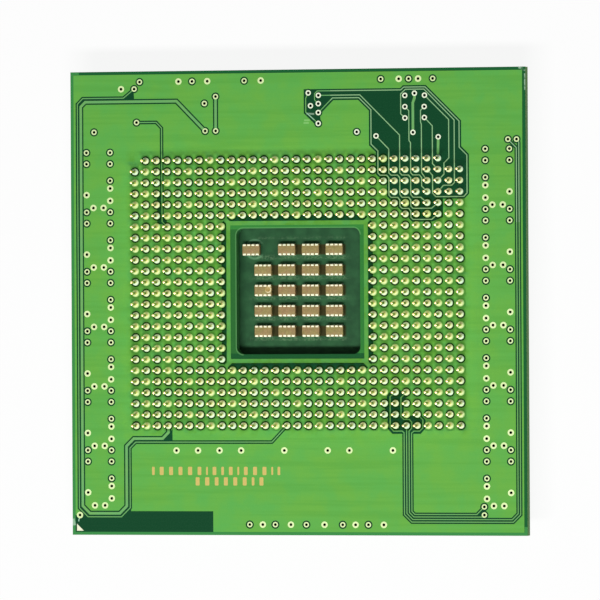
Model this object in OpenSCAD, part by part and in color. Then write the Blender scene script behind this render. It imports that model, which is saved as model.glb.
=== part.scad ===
// Pin grid array processor lying on its heat spreader, pins up.
// The origin is under the middle of the board, on the heat spreader's outer face. Millimetres.

/* [Interposer board] */
// Width of the board, along X
board_w = 53.34; // [53:0.01:60]
// Length of the board, along Y
board_l = 53.34; // [53:0.01:60]
// Thickness of the laminate
board_t = 1.5; // [1:0.1:2.5]
// Thickness of the copper on the pin side
copper_t = 0.05; // [0.03:0.01:0.1]
// Distance that the copper keeps from the board's edges
copper_inset = 0.36; // [0.2:0.02:0.45]

/* [Pin field] */
// Distance between pins
pin_pitch = 1.27; // [1.2:0.01:1.3]
// Distance of the field's middle from the board's middle, along Y
field_y = 1.13; // [0:0.01:1.5]
// Diameter of a pin
pin_d = 0.31; // [0.25:0.01:0.4]
// Height of a pin above the copper
pin_len = 2.03; // [1.5:0.01:3]
// Chamfer at a pin's tip
pin_chamfer = 0.06; // [0.02:0.01:0.1]
// Diameter of a pin's solder foot
foot_d = 0.84; // [0.7:0.01:0.9]
// Height to which the solder climbs a pin
foot_h = 0.36; // [0.2:0.01:0.6]
// Diameter of the clearance round an isolated pin
pin_clear_d = 1.07; // [1:0.01:1.12]

/* [Window] */
// Width of the window through the board
window_w = 14.5; // [12:0.05:15]
// Length of the window through the board
window_l = 14.45; // [12:0.05:15]
// Radius of the window's corners
window_r = 0.8; // [0.3:0.05:2]
// Distance of the window's middle from the field's middle, along X
window_dx = 0.11; // [-0.15:0.01:0.15]
// Distance of the window's middle from the field's middle, along Y
window_dy = 0.16; // [-0.2:0.01:0.2]
// Bare border between the window and the guard ring, along X
guard_gap_x = 0.58; // [0.3:0.01:0.65]
// Bare border between the window and the guard ring, along Y
guard_gap_y = 0.44; // [0.3:0.01:0.65]
// Distance of the guard ring's middle from the field's middle, along Y
guard_dy = 0.08; // [-0.1:0.01:0.1]
// Width of the guard ring
guard_w = 0.48; // [0.3:0.01:0.55]
// Chamfer of the copper plane's corners round the window
plane_chamfer = 0.9; // [0.5:0.1:1.5]
// Width of the copper bridge at each corner of the guard ring
bridge_w = 0.5; // [0.3:0.05:0.6]

/* [Vias and traces] */
// Outer diameter of an isolated via's ring
via_d = 0.62; // [0.54:0.01:0.7]
// Outer diameter of the ring of a via that joins the copper plane
plane_via_d = 0.75; // [0.6:0.01:0.78]
// Diameter of the hole in a via
via_hole_d = 0.33; // [0.2:0.01:0.34]
// Wall of a via's plated barrel
via_wall = 0.06; // [0.03:0.01:0.08]
// Diameter of the clearance round an isolated via
via_clear_d = 0.95; // [0.9:0.01:1]
// Depth of the hole in a via, above its plug
via_depth = 0.9; // [0.3:0.1:0.9]
// Width of a fine trace
trace_w = 0.11; // [0.08:0.01:0.15]
// Width of a wide trace
wide_trace_w = 0.3; // [0.25:0.01:0.36]
// Clearance between a trace and the copper plane
trace_gap = 0.155; // [0.1:0.005:0.2]

/* [Package] */
// Width of the square package substrate
substrate_w = 35; // [32:0.5:38]
// Thickness of the package substrate
substrate_t = 1.2; // [0.8:0.1:1.6]
// Height of the solder balls between substrate and board
ball_gap = 0.45; // [0.35:0.01:0.6]
// Largest diameter of a solder ball
ball_d = 0.76; // [0.6:0.02:0.9]
// Distance between solder balls
ball_pitch = 1.27; // [1.2:0.01:1.27]
// Width of the die
die_w = 12; // [8:0.5:16]
// Length of the die
die_l = 11.5; // [8:0.5:16]
// Thickness of the die
die_t = 0.75; // [0.6:0.05:0.9]
// Height of the bump layer under the die
bump_t = 0.1; // [0.06:0.01:0.15]
// Reach of the underfill past the die
underfill_reach = 0.6; // [0.2:0.1:1]
// Thickness of the thermal interface
tim_t = 0.1; // [0.05:0.01:0.2]

/* [Heat spreader] */
// Width of the heat spreader's rim
lid_w = 31; // [28:0.5:32]
// Width of the heat spreader's outer face
lid_face_w = 28.6; // [26:0.2:30]
// Thickness of the heat spreader over the die
lid_plate_t = 1.4; // [1.2:0.1:2]
// Height of the heat spreader's outer step
lid_step = 1.2; // [0.6:0.1:1.3]
// Width of the rim that is bonded to the substrate
lid_rim = 3; // [2:0.5:4]
// Radius of the heat spreader's corners
lid_r = 1.6; // [0.5:0.1:3]
// Thickness of the sealant under the rim
sealant_t = 0.15; // [0.08:0.01:0.25]
// Distance that the sealant keeps from the rim's edges
sealant_inset = 0.4; // [0.2:0.1:0.8]

/* [Capacitors in the window] */
// Distance between capacitors in a row
cap_pitch_x = 2.79; // [2.4:0.01:2.85]
// Distance between rows of capacitors
cap_pitch_y = 2.34; // [2.1:0.01:2.6]
// Distance of the capacitors' middle from the field's middle, along X
cap_dx = -0.1; // [-0.3:0.01:0.3]
// Distance of the capacitors' middle from the field's middle, along Y
cap_dy = 0.26; // [-0.5:0.01:0.5]
// Length of a capacitor
cap_w = 2; // [1.8:0.05:2.1]
// Width of a capacitor's body between its terminals
cap_l = 1.2; // [1:0.05:1.3]
// Height of a capacitor
cap_h = 0.85; // [0.6:0.05:1]
// Gap under a capacitor's body
cap_lift = 0.05; // [0.02:0.01:0.1]
// Width of one terminal
terminal_w = 0.34; // [0.2:0.02:0.36]
// Distance between terminals
terminal_pitch = 0.5; // [0.44:0.02:0.55]
// Thickness of a terminal
terminal_t = 0.06; // [0.04:0.01:0.1]
// Reach of a terminal over the capacitor's top
terminal_fold = 0.19; // [0.1:0.01:0.3]

/* [Parts on the hidden side] */
// Length of an edge capacitor
edge_cap_w = 3.2; // [2.4:0.1:3.6]
// Width of an edge capacitor
edge_cap_l = 1.6; // [1.2:0.1:2]
// Height of an edge capacitor
edge_cap_h = 0.85; // [0.5:0.05:1.2]
// Length of an edge capacitor's end terminal
edge_terminal = 0.5; // [0.3:0.05:0.7]
// Width of the memory chip's body
memory_w = 4.4; // [3.6:0.1:5]
// Length of the memory chip's body
memory_l = 3; // [2.7:0.1:3.4]
// Thickness of the memory chip's body
memory_t = 0.9; // [0.7:0.05:1.2]
// Width of the sensor chip's body
sensor_w = 3.9; // [3:0.1:4.4]
// Length of the sensor chip's body
sensor_l = 4.9; // [4.7:0.1:5.2]
// Thickness of the sensor chip's body
sensor_t = 1.3; // [0.9:0.05:1.4]
// Gap between a chip's body and the board
chip_lift = 0.1; // [0.06:0.01:0.2]
// Distance between leads
lead_pitch = 0.635; // [0.6:0.005:0.65]
// Width of a lead
lead_w = 0.25; // [0.2:0.01:0.3]
// Thickness of a lead
lead_t = 0.15; // [0.1:0.01:0.2]
// Reach of a lead past the chip's body
lead_reach = 1; // [0.8:0.05:1.2]

/* [Marks] */
// Side of the printed corner triangle
mark_side = 0.8; // [0.6:0.05:1]
// Thickness of the print
mark_t = 0.03; // [0.02:0.01:0.05]

/* [Hidden] */
$fn = 48;
// Number of pin columns
pin_cols = 31;
// Number of pin rows
pin_rows = 25;
// Columns left free in the middle of the field
void_cols = 13;
// Rows left free in the middle of the field
void_rows = 13;
// Solder balls along one side of the array
ball_cols = 27;
// Solder balls left out along one side of the array's middle
ball_void = 13;
// Capacitors in one row
cap_cols = 4;
// Rows of capacitors
cap_rows = 5;
// Signs of x and y in the four quadrants
quadrants = [[1, 1], [-1, 1], [-1, -1], [1, -1]];
// Void of the copper plane round the window
plane_void_w = (void_cols + 1) * pin_pitch;
plane_void_l = (void_rows + 1) * pin_pitch;
// Edges of the board
left = -board_w / 2;
right = board_w / 2;
bottom = -board_l / 2;
top = board_l / 2;

// Heights, from the heat spreader's outer face up
z_tim = lid_plate_t;
z_die = z_tim + tim_t;
z_bump = z_die + die_t;
z_substrate = z_bump + bump_t;
z_rim = z_substrate - sealant_t;
z_ball = z_substrate + substrate_t;
z_board = z_ball + ball_gap;
z_top = z_board + board_t;
z_copper = z_top + copper_t;
z_tip = z_copper + pin_len;

// The pin grid: column and row counted from the top left corner
mid_col = (pin_cols - 1) / 2;
mid_row = (pin_rows - 1) / 2;
last_row = pin_rows - 1;
function at(c, r) = [(c - mid_col) * pin_pitch, field_y - (r - mid_row) * pin_pitch];
function route(cells) = [for (p = cells) at(p[0], p[1])];
function beside_window(r) = abs(r - mid_row) < void_rows / 2;
function in_void(c, r) = beside_window(r) && abs(c - mid_col) < void_cols / 2;
function left_empty(c, r) = r == 0 && (c == 0 || c >= pin_cols - 2);
function has_pin(c, r) = !in_void(c, r) && !left_empty(c, r);
function row_pins(r) = [for (c = [0:pin_cols - 1]) if (has_pin(c, r)) [c, r]];
all_pins = [for (r = [0:last_row], p = row_pins(r)) p];

// Pins that join the copper plane: a chequer beside the window and at the outer columns,
// and a slanting lattice, three rows deep, above and below the window
plane_lattice = [2, 4, 0];
function lower_half(r) = r > mid_row ? 1 : 0;
function chequer(c, r) = (c + r + lower_half(r)) % 2 == 0;
function at_side(c, r) = c <= 1 || c >= pin_cols - (lower_half(r) == 1 ? 4 : 2);
function from_end(r) = min(r, last_row - r);
function lattice(c, r) = abs(c - mid_col) % 6 == plane_lattice[from_end(r) % 3];
function on_plane(c, r) = beside_window(r) || at_side(c, r) ? chequer(c, r) : lattice(c, r);
function pin_hole_d(p) = on_plane(p[0], p[1]) ? foot_d : pin_clear_d;

// Vias along the side strips: distance from the side edge, drop from the group's first via, isolated or not
strip_groups = 6;
strip_pitch = 6.855;
strip_first = 9.31;
strip_outer = 1.87;
strip_inner = 4.67;
strip_group = [
    [strip_outer, 0, true], [strip_inner, 0, true],
    [strip_outer, 1.3, true], [strip_inner, 1.3, true],
    [strip_inner, 3.24, true], [strip_inner, 4.13, false],
    [strip_outer, 4.87, false], [strip_inner, 5.55, false],
    [2.67, 6.36, false], [3.87, 6.36, false]
];
strip_vias = [
    for (side = [-1, 1], g = [0:strip_groups - 1], v = strip_group)
        [side * (right - v[0]), top - strip_first - g * strip_pitch - v[1], v[2]]
];

// Vias along the top and bottom edges, plain and isolated
edge_row_inset = 1.22;
top_plain = [-13.85, -10.45, -4.15, 12, 14.25];
top_isolated = [-18.45, -12.25, -6.1, 9.9, 13.15, 15.95];
bottom_plain = [-4.17, -0.87, 3.07, 6.7, 10];
bottom_isolated = [-5.7, -2.7, 0.94, 5.2, 8.2];
edge_vias = concat(
    [for (x = top_plain) [x, top - edge_row_inset, false]],
    [for (x = top_isolated) [x, top - edge_row_inset, true]],
    [for (x = bottom_plain) [x, bottom + edge_row_inset, false]],
    [for (x = bottom_isolated) [x, bottom + edge_row_inset, true]]
);

// A row of plain vias below the pins
low_row = last_row + 2.24;
low_vias = [for (k = [0, 1, 2, 3, 5, 7, 8, 10]) concat(at(3.74 + 2 * k, low_row), false)];

// Vias at the ends of the traces, and a few that stand alone
t1_via = [left + 7.57, top - 2.02];
t2_via = at(6.55, -2.65);
u_via = at(0.17, -3.48);
bar_vias = route([[7.535, -5.75], [7.535, -2.65]]);
edge_via_in = [right - 2.03, top - 8.24];
edge_via_out = [right - 1.04, top - 8.24];
corner_via_high = [right - 4.98, bottom + 3.29];
corner_via_low = [right - 4.98, bottom + 2.36];
mark_via = [left + 0.88, bottom + 2.28];
left_chip_vias = route([
    [16.12, -5.98], [17.05, -5.75], [16.32, -4.82], [17.04, -5], [17.04, -4.2], [17.03, -3.22]
]);
right_chip_vias = route([
    [25, -5.65], [25.88, -5.84], [26.8, -5.65], [25, -4.64], [26.77, -4.63],
    [25, -3.63], [26.78, -3.65], [25.73, -2.33], [28.04, -1.9], [22.34, -2.04]
]);
lone_isolated = concat([[left + 2.79, top - 6.95]], route([[6.5, -5.14], [20.57, -2.42]]));
lone_plain = [[left + 6.02, top - 2.02]];
routed_vias = concat(
    [t1_via, t2_via, u_via, edge_via_in, edge_via_out, corner_via_high, corner_via_low],
    bar_vias, left_chip_vias, right_chip_vias, lone_isolated
);
vias = concat(
    strip_vias, edge_vias, low_vias,
    [for (v = routed_vias) concat(v, true)],
    [for (v = concat(lone_plain, [mark_via])) concat(v, false)]
);
function via_ring_d(v) = v[2] ? via_d : plane_via_d;
function via_cut_d(v) = v[2] ? via_clear_d : plane_via_d;

// Traces that cross the copper plane: points, width, diameter of the land at each end
lane_pitch = 0.29;
lane_turn = 0.85;
lane_step = lane_pitch * (sqrt(2) - 1);
lanes_x = at(25, 0)[0] - lane_pitch;
lanes_y = bottom + 1.55;
function lane_corner(k) = [
    [lanes_x + lane_turn + k * lane_step, lanes_y + k * lane_pitch],
    [lanes_x + k * lane_pitch, lanes_y + lane_turn + k * lane_step]
];
// A lane along the right edge starts to turn at the bottom right corner
lane_edge = 0.78;
function lane_edge_turn(k) = [
    [right - lane_edge - k * lane_pitch, lanes_y + lane_turn + k * lane_step],
    [right - lane_edge - lane_turn - k * lane_step, lanes_y + k * lane_pitch]
];
fine_left = 0.82;
wide_left = 1.22;
fine_low = 2.08;
wide_low = 2.48;
fine_up_x = at(-0.6, 0)[0];
wide_up_x = at(-0.92, 0)[0];
plane_traces = [
    [concat(
        [t1_via, [left + 6.3, top - 3.05], [left + 1.45, top - 3.05], [left + fine_left, top - 3.7],
         [left + fine_left, bottom + 3.1], [left + 1.84, bottom + fine_low],
         [fine_up_x - 1.05, bottom + fine_low], [fine_up_x, bottom + 3.13]],
        route([[-0.6, last_row + 2.02], [-0.06, last_row + 1.48], [12.6, last_row + 1.48], [14, last_row]])
    ), trace_w, via_d, foot_d],
    [concat(
        [t2_via, [at(3.9, 0)[0], top - 3.47], [left + 1.75, top - 3.47], [left + wide_left, top - 4],
         [left + wide_left, bottom + 3.34], [left + 2.08, bottom + wide_low],
         [wide_up_x - 0.84, bottom + wide_low], [wide_up_x, bottom + 3.32]],
        route([[-0.92, last_row + 1.84], [-0.24, last_row + 1.16], [2.45, last_row + 1.16],
               [3, last_row + 0.6], [3, last_row]])
    ), wide_trace_w, via_d, foot_d],
    [concat([u_via], route([[2, -3.48], [2.5, -2.95], [2.5, 5.5], [3, 6]])), trace_w, via_d, foot_d],
    [bar_vias, wide_trace_w, via_d, via_d],
    [concat(
        [edge_via_out, [right - lane_edge, top - 8.6]], lane_edge_turn(0), lane_corner(0),
        [[lanes_x, at(0, last_row + 0.65)[1]]],
        route([[24.6, last_row + 0.5], [23.8, last_row + 0.5], [23.5, last_row + 0.15], [23.5, 21.4],
               [24, 21]])
    ), trace_w, via_d, foot_d],
    [concat(
        [edge_via_in, [right - lane_edge - lane_pitch, top - 9.2]], lane_edge_turn(1), lane_corner(1),
        route([[25, last_row]])
    ), trace_w, via_d, foot_d],
    [concat(
        [corner_via_low, [right - 5.2, lanes_y + 2 * lane_pitch]], lane_corner(2),
        [[lanes_x + 2 * lane_pitch, at(0, last_row + 0.5)[1]]],
        route([[25.47, last_row + 0.25], [25.47, 23.7], [25.25, 23.45], [24.75, 23.45], [24.5, 23.2],
               [24.5, 21.5], [25, 21]])
    ), trace_w, via_d, foot_d],
    [concat(
        [corner_via_high, [right - 5.85, lanes_y + 3 * lane_pitch]], lane_corner(3),
        [[lanes_x + 3 * lane_pitch, at(0, last_row + 0.68)[1]]],
        route([[25.67, last_row + 0.5], [26.2, last_row + 0.5], [26.5, 24.2], [26.5, 23.5], [26, 23]])
    ), trace_w, via_d, foot_d]
];

// Traces inside the copper-free corner areas, which need no clearance of their own
corner_traces = [
    [route([
        [17.04, -5], [16.7, -5.35], [16.7, -5.9], [16.95, -6.15], [24.63, -6.15], [24.9, -6.4],
        [26.85, -6.4], [29.95, -3.3], [29.95, -0.95], [30.65, -0.25], [30.65, 3.15], [30.35, 3.47],
        [27.8, 3.47], [27.5, 3.15], [27.5, 1.55], [27, 1]
    ]), trace_w, via_d, foot_d],
    [route([
        [25, -3.63], [24.62, -4], [24.62, -5.8], [25.05, -6.2], [26.75, -6.2], [29.5, -3.4], [29.5, 2.2],
        [29.25, 2.45], [28.5, 2.45], [28, 3]
    ]), trace_w, via_d, foot_d],
    [route([
        [26.8, -5.65], [29, -3.45], [29, 0], [28.55, 0.45], [28.55, 1.45], [28, 2]
    ]), trace_w, via_d, foot_d],
    [route([[26.78, -3.65], [27.5, -2.9], [27.5, 0.5], [28, 1]]), trace_w, via_d, foot_d],
    [route([
        [26.77, -4.63], [26.43, -4.3], [26.43, -3.25], [26.5, -3.05], [26.5, 1.3], [27, 2]
    ]), trace_w, via_d, foot_d],
    [route([
        [25, -4.64], [25.36, -4.27], [25.36, -1.6], [25.5, -1.4], [25.5, 1.3], [25.7, 1.5], [26.3, 1.5],
        [26.5, 1.75], [26.5, 2.5], [27, 3]
    ]), trace_w, via_d, foot_d],
    [route([
        [17.05, -5.75], [20.87, -5.75], [24.5, -2.1], [24.5, 1.3], [24.7, 1.5], [25.3, 1.5], [25.5, 1.75],
        [25.5, 3.25], [25.7, 3.5], [26.4, 3.5], [27, 4]
    ]), trace_w, via_d, foot_d],
    [route([
        [22.34, -2.04], [23.5, -0.85], [23.5, 1.3], [23.7, 1.5], [24.3, 1.5], [24.5, 1.75], [24.5, 3.25],
        [24.7, 3.5], [25.3, 3.5], [25.5, 3.75], [25.5, 4.3], [25.7, 4.5], [27.4, 4.5], [28, 4]
    ]), trace_w, via_d, foot_d],
    [route([
        [17.04, -4.2], [18.35, -5.5], [20.77, -5.5], [21.88, -4.4], [21.88, -1.3], [22.5, -0.7], [22.5, 1.3],
        [22.7, 1.5], [23.3, 1.5], [23.5, 1.75], [23.5, 3.3], [23.7, 3.5], [24.3, 3.5], [24.5, 3.75],
        [24.5, 4.3], [24.7, 4.5], [25.3, 4.5], [25.5, 4.75], [25.5, 5.3], [25.7, 5.5], [27.4, 5.5], [28, 5]
    ]), trace_w, via_d, foot_d],
    [route([[16.12, -5.98], [15.88, -5.5], [15.88, -4.25], [17.03, -3.22]]), trace_w, via_d, via_d],
    [route([[25.88, -5.84], [25.88, -5.4], [25.73, -5], [25.73, -2.33]]), wide_trace_w, via_d, via_d],
    [route([[28.04, -1.9], [28, 0]]), wide_trace_w, via_d, foot_d],
    [[mark_via, [left + 0.7, bottom + 1.5]], trace_w, plane_via_d, trace_w]
];

// Areas of the pin side with no copper
bare_areas = [
    route([
        [15.7, -6.32], [24.57, -6.32], [24.82, -6.57], [26.93, -6.57], [30.14, -3.36], [30.14, -1.05],
        [30.84, -0.33], [30.84, 3.23], [30.42, 3.65], [28.45, 3.65], [28.45, 5.3], [27.5, 5.7], [25.6, 5.7],
        [25.3, 5.4], [25.3, 4.85], [25.2, 4.7], [24.6, 4.7], [24.3, 4.4], [24.3, 3.85], [24.2, 3.7],
        [23.6, 3.7], [23.3, 3.4], [23.3, 1.85], [23.2, 1.7], [22.6, 1.7], [22.3, 1.4], [22.3, -0.6],
        [21.69, -1.2], [21.69, -4.32], [20.7, -5.3], [18.43, -5.3], [17.2, -4.05], [17.3, -3],
        [16.85, -3.02], [15.7, -4.15]
    ]),
    route([
        [23.2, 21.3], [23.6, 20.85], [24.5, 20.85], [25.25, 21.3], [24.75, 21.7], [24.75, 23.1], [26.4, 23.1],
        [26.75, 23.5], [26.75, 24.25], [26.3, 24.75], [23.7, 24.75], [23.26, 24.3], [23.26, 22.7],
        [22.9, 22.4], [23.2, 22]
    ]),
    route([[2.5, last_row + 1.1], [3.38, last_row + 0.3], [3.38, last_row + 1.45], [2.5, last_row + 1.45]]),
    route([[2.05, 3.25], [2.45, 3.25], [2.45, 3.75], [2.05, 3.75]]),
    route([[2.05, 4.25], [2.45, 4.25], [2.45, 4.75], [2.05, 4.75]]),
    route([[2.05, 5.2], [2.95, 5.2], [2.95, 5.75], [2.05, 5.75]]),
    [
        [left + 0.3, bottom + 0.1], [left + 16.67, bottom + 0.1], [left + 16.67, bottom + 2.74],
        [fine_up_x + 0.1, bottom + 2.74], [fine_up_x + 0.1, bottom + 3.13],
        [fine_up_x - 1.05, bottom + fine_low], [left + 1.75, bottom + fine_low], [left + 1.25, bottom + 2.5],
        [left + 0.3, bottom + 2.25]
    ],
    [[left + 6.35, top - 3.05], [left + 7.5, top - 2.05], [left + 7.58, top - 3.4], [left + 6.35, top - 3.4]],
    [
        [right - 5.85, bottom + 2.2], [right - 4.9, bottom + 2.2], [right - 4.9, bottom + 3.4],
        [right - 5.1, bottom + 3.4]
    ]
];

// Left and right banks of pins stand beside the window, the other two above and below it
function bank(name) = [
    for (p = all_pins)
        let (
            beside = beside_window(p[1]),
            is_west = beside && p[0] < mid_col,
            is_east = beside && p[0] > mid_col,
            is_north = !beside && p[1] < mid_row
        )
        if (name == (is_west ? "west" : is_east ? "east" : is_north ? "north" : "south")) p
];

// Solder ball places, counted from the middle of the array
ball_half = (ball_cols - 1) / 2;
ball_inner = (ball_void + 1) / 2;
function ball_bank(name) = [
    for (i = [-ball_half:ball_half], j = [-ball_half:ball_half])
        let (side = abs(j) >= ball_inner ? (j > 0 ? "north" : "south") : (i > 0 ? "east" : "west"))
        if (max(abs(i), abs(j)) >= ball_inner && side == name) [i, j] * ball_pitch
];

// Capacitors in the window: the first of the top row sits half a place to the left
function cap_shift(col, row) = row == 0 && col == 0 ? 0.5 : 0;
function cap_x(col, row) = cap_dx + (col - (cap_cols - 1) / 2 - cap_shift(col, row)) * cap_pitch_x;
function cap_y(row) = field_y + cap_dy + ((cap_rows - 1) / 2 - row) * cap_pitch_y;
fold_t = terminal_t / 2;

// Chips on the hidden side: middle, body size and leads on one side
memory_at = at(16.5, -4.6);
memory_leads = 4;
sensor_at = at(25.9, -4.65);
sensor_leads = 7;

banks = ["north", "south", "west", "east"];
row_names = [for (r = [0:last_row]) str("pin_row_", r < 9 ? "0" : "", r + 1)];
solder_names = [for (b = banks) str("pin_solder_", b)];
ball_names = [for (b = banks) str("solder_balls_", b)];
cap_names = [for (r = [1:cap_rows]) str("cavity_capacitors_row_", r)];

// Colours of the finishes
mask_over_laminate = [0.05, 0.30, 0.15];
mask_over_copper = [0.38, 0.68, 0.25];
gold = [0.86, 0.74, 0.42];
tin = [0.84, 0.84, 0.76];
ceramic = [0.45, 0.36, 0.28];
nickel = [0.72, 0.72, 0.70];
resin = [0.10, 0.10, 0.11];

// Flat outlines
module rounded(w, l, r) {
    square([w - 2 * r, l], center = true);
    square([w, l - 2 * r], center = true);
    for (x = [-1, 1], y = [-1, 1])
        translate([x * (w / 2 - r), y * (l / 2 - r)]) circle(r);
}

module chamfered(w, l, c)
    polygon([
        for (q = quadrants)
            let (a = [q[0] * w / 2, q[1] * (l / 2 - c)], b = [q[0] * (w / 2 - c), q[1] * l / 2])
            each (q[0] == q[1] ? [a, b] : [b, a])
    ]);

// A band of width w along the points p, with mitred turns
function unit(v) = v / norm(v);
function normal(a, b) = let (d = unit(b - a)) [-d[1], d[0]];
function mitre(a, b, c) = let (n = normal(a, b), m = unit(n + normal(b, c))) m / (m * n);
function offset_at(p, i) =
    i == 0 ? normal(p[0], p[1])
    : i == len(p) - 1 ? normal(p[i - 1], p[i])
    : mitre(p[i - 1], p[i], p[i + 1]);
function flank(p, d) = [for (i = [0:len(p) - 1]) p[i] + d * offset_at(p, i)];
function reversed(p) = [for (i = [len(p) - 1:-1:0]) p[i]];
module band(p, w) polygon(concat(flank(p, w / 2), reversed(flank(p, -w / 2))));

module window_outline() translate([window_dx, field_y + window_dy]) rounded(window_w, window_l, window_r);

module interposer_board()
    color(mask_over_laminate) translate([0, 0, z_board]) linear_extrude(board_t) difference() {
        square([board_w, board_l], center = true);
        window_outline();
        for (v = vias) translate([v[0], v[1]]) circle(d = via_hole_d + 2 * via_wall);
    }

module ground_plane()
    color(mask_over_copper) translate([0, 0, z_top]) linear_extrude(copper_t) difference() {
        square([board_w - 2 * copper_inset, board_l - 2 * copper_inset], center = true);
        translate([0, field_y]) chamfered(plane_void_w, plane_void_l, plane_chamfer);
        for (p = all_pins) translate(at(p[0], p[1])) circle(d = pin_hole_d(p));
        for (v = vias) translate([v[0], v[1]]) circle(d = via_cut_d(v));
        for (t = plane_traces) band(t[0], t[1] + 2 * trace_gap);
        for (a = bare_areas) polygon(a);
    }

// Outline of the guard ring, each corner running out in a bridge to the chamfer of the copper plane
module bridged(w, l) {
    reach = [plane_void_w - plane_chamfer, plane_void_l - plane_chamfer] / 2;
    skew = reach[0] - reach[1];
    n = bridge_w / sqrt(8);
    polygon([
        for (q = quadrants)
            let (
                h = l / 2 + q[1] * guard_dy,
                corner = [
                    [w / 2, w / 2 - skew - 2 * n], [reach[0] + n, reach[1] - n],
                    [reach[0] - n, reach[1] + n], [h + skew - 2 * n, h]
                ]
            )
            each [for (p = q[0] == q[1] ? corner : reversed(corner)) [q[0] * p[0], q[1] * p[1]]]
    ]);
}

module guard_ring() {
    inner_w = window_w + 2 * guard_gap_x;
    inner_l = window_l + 2 * guard_gap_y;
    color(mask_over_copper) translate([0, field_y, z_top]) linear_extrude(copper_t) difference() {
        bridged(inner_w + 2 * guard_w, inner_l + 2 * guard_w);
        translate([0, guard_dy]) square([inner_w, inner_l], center = true);
    }
}

module signal_traces()
    color(mask_over_copper) translate([0, 0, z_top]) for (t = concat(plane_traces, corner_traces))
        linear_extrude(copper_t) difference() {
            band(t[0], t[1]);
            translate(t[0][0]) circle(d = t[2]);
            translate(t[0][len(t[0]) - 1]) circle(d = t[3]);
        }

// A plated barrel with a ring on the pin side and a plug below its hole
module via(ring_d) {
    barrel_r = via_hole_d / 2 + via_wall;
    rotate_extrude() polygon([
        [0, z_board], [barrel_r, z_board], [barrel_r, z_top], [ring_d / 2, z_top], [ring_d / 2, z_copper],
        [via_hole_d / 2, z_copper], [via_hole_d / 2, z_copper - via_depth], [0, z_copper - via_depth]
    ]);
}

module via_rings() color(tin) for (v = vias) translate([v[0], v[1], 0]) via(via_ring_d(v));

module pin() {
    shaft_h = z_tip - z_top - pin_chamfer;
    cylinder(d = pin_d, h = shaft_h);
    translate([0, 0, shaft_h]) cylinder(d1 = pin_d, d2 = pin_d - 2 * pin_chamfer, h = pin_chamfer);
}

module pin_row(r) color(gold) for (p = row_pins(r)) translate(concat(at(p[0], p[1]), z_top)) pin();

// A ring of solder, steep at the pin and thin at the rim: its outline in parts of its reach and height
module solder_foot() {
    reach = (foot_d - pin_d) / 2;
    r = pin_d / 2;
    rotate_extrude() polygon([
        [r, 0], [r + reach, 0], [r + reach, copper_t + 0.08 * foot_h], [r + 0.55 * reach, 0.45 * foot_h],
        [r + 0.2 * reach, 0.8 * foot_h], [r, foot_h + copper_t]
    ]);
}

module pin_solder(name)
    color(tin) for (p = bank(name)) translate(concat(at(p[0], p[1]), z_top)) solder_foot();

module pin_one_mark()
    color("white") translate([left + 0.52, bottom + 0.47, z_top]) linear_extrude(mark_t)
        polygon([[0, 0], [mark_side, 0], [0, mark_side]]);

module package_substrate()
    color([0.16, 0.35, 0.24]) translate([0, field_y, z_substrate]) linear_extrude(substrate_t)
        square(substrate_w, center = true);

// A ball squeezed flat where it is joined to its two lands
module ball() {
    r = ball_d / 2;
    land_r = 0.74 * r;
    rotate_extrude() polygon([
        [0, 0], [land_r, 0], [r, ball_gap / 3], [r, ball_gap * 2 / 3], [land_r, ball_gap], [0, ball_gap]
    ]);
}

module solder_balls(name)
    color(tin) translate([0, field_y, z_ball]) for (p = ball_bank(name)) translate(p) ball();

module die()
    color([0.30, 0.31, 0.36]) translate([-die_w / 2, field_y - die_l / 2, z_die]) cube([die_w, die_l, die_t]);

module die_underfill()
    color(resin) translate([0, field_y, z_bump]) linear_extrude(bump_t)
        square([die_w + 2 * underfill_reach, die_l + 2 * underfill_reach], center = true);

module thermal_interface()
    color([0.55, 0.56, 0.58]) translate([0, field_y, z_tim]) linear_extrude(tim_t)
        square([die_w, die_l], center = true);

module heat_spreader()
    color(nickel) translate([0, field_y, 0]) difference() {
        union() {
            linear_extrude(lid_step) rounded(lid_face_w, lid_face_w, lid_r);
            translate([0, 0, lid_step]) linear_extrude(z_rim - lid_step) rounded(lid_w, lid_w, lid_r);
        }
        translate([0, 0, lid_plate_t]) linear_extrude(z_rim)
            square(lid_w - 2 * lid_rim, center = true);
    }

module lid_sealant()
    color(resin) translate([0, field_y, z_rim]) linear_extrude(sealant_t) difference() {
        rounded(lid_w - 2 * sealant_inset, lid_w - 2 * sealant_inset, lid_r);
        square(lid_w - 2 * lid_rim + 2 * sealant_inset, center = true);
    }

module cavity_capacitors(row)
    color(ceramic) for (col = [0:cap_cols - 1])
        translate([cap_x(col, row) - cap_w / 2, cap_y(row) - cap_l / 2, z_ball + cap_lift])
            cube([cap_w, cap_l, cap_h - cap_lift - fold_t]);

// A terminal stands on a long side of a capacitor and folds over its top edge
module terminal()
    rotate([90, 0, 90]) linear_extrude(terminal_w, center = true) polygon([
        [0, 0], [terminal_t, 0], [terminal_t, cap_h], [-terminal_fold, cap_h],
        [-terminal_fold, cap_h - fold_t], [0, cap_h - fold_t]
    ]);

// Four terminals on each long side
module cavity_capacitor_terminals()
    color(tin) for (row = [0:cap_rows - 1], col = [0:cap_cols - 1], k = [-1.5:1.5], turn = [0, 180])
        translate([cap_x(col, row) + k * terminal_pitch, cap_y(row), z_ball]) rotate(turn)
            translate([0, cap_l / 2, 0]) terminal();

// Edge capacitors hang under the board, between the first two pairs of vias of each group
edge_cap_x = right - (strip_outer + strip_inner) / 2;
edge_cap_drop = 0.65;
function edge_cap_y(g) = top - strip_first - g * strip_pitch - edge_cap_drop;
module edge_capacitors(side)
    color(ceramic) for (g = [0:strip_groups - 1])
        translate([side * edge_cap_x, edge_cap_y(g), z_board - edge_cap_h / 2])
            cube([edge_cap_w - 2 * edge_terminal, edge_cap_l, edge_cap_h], center = true);

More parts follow.
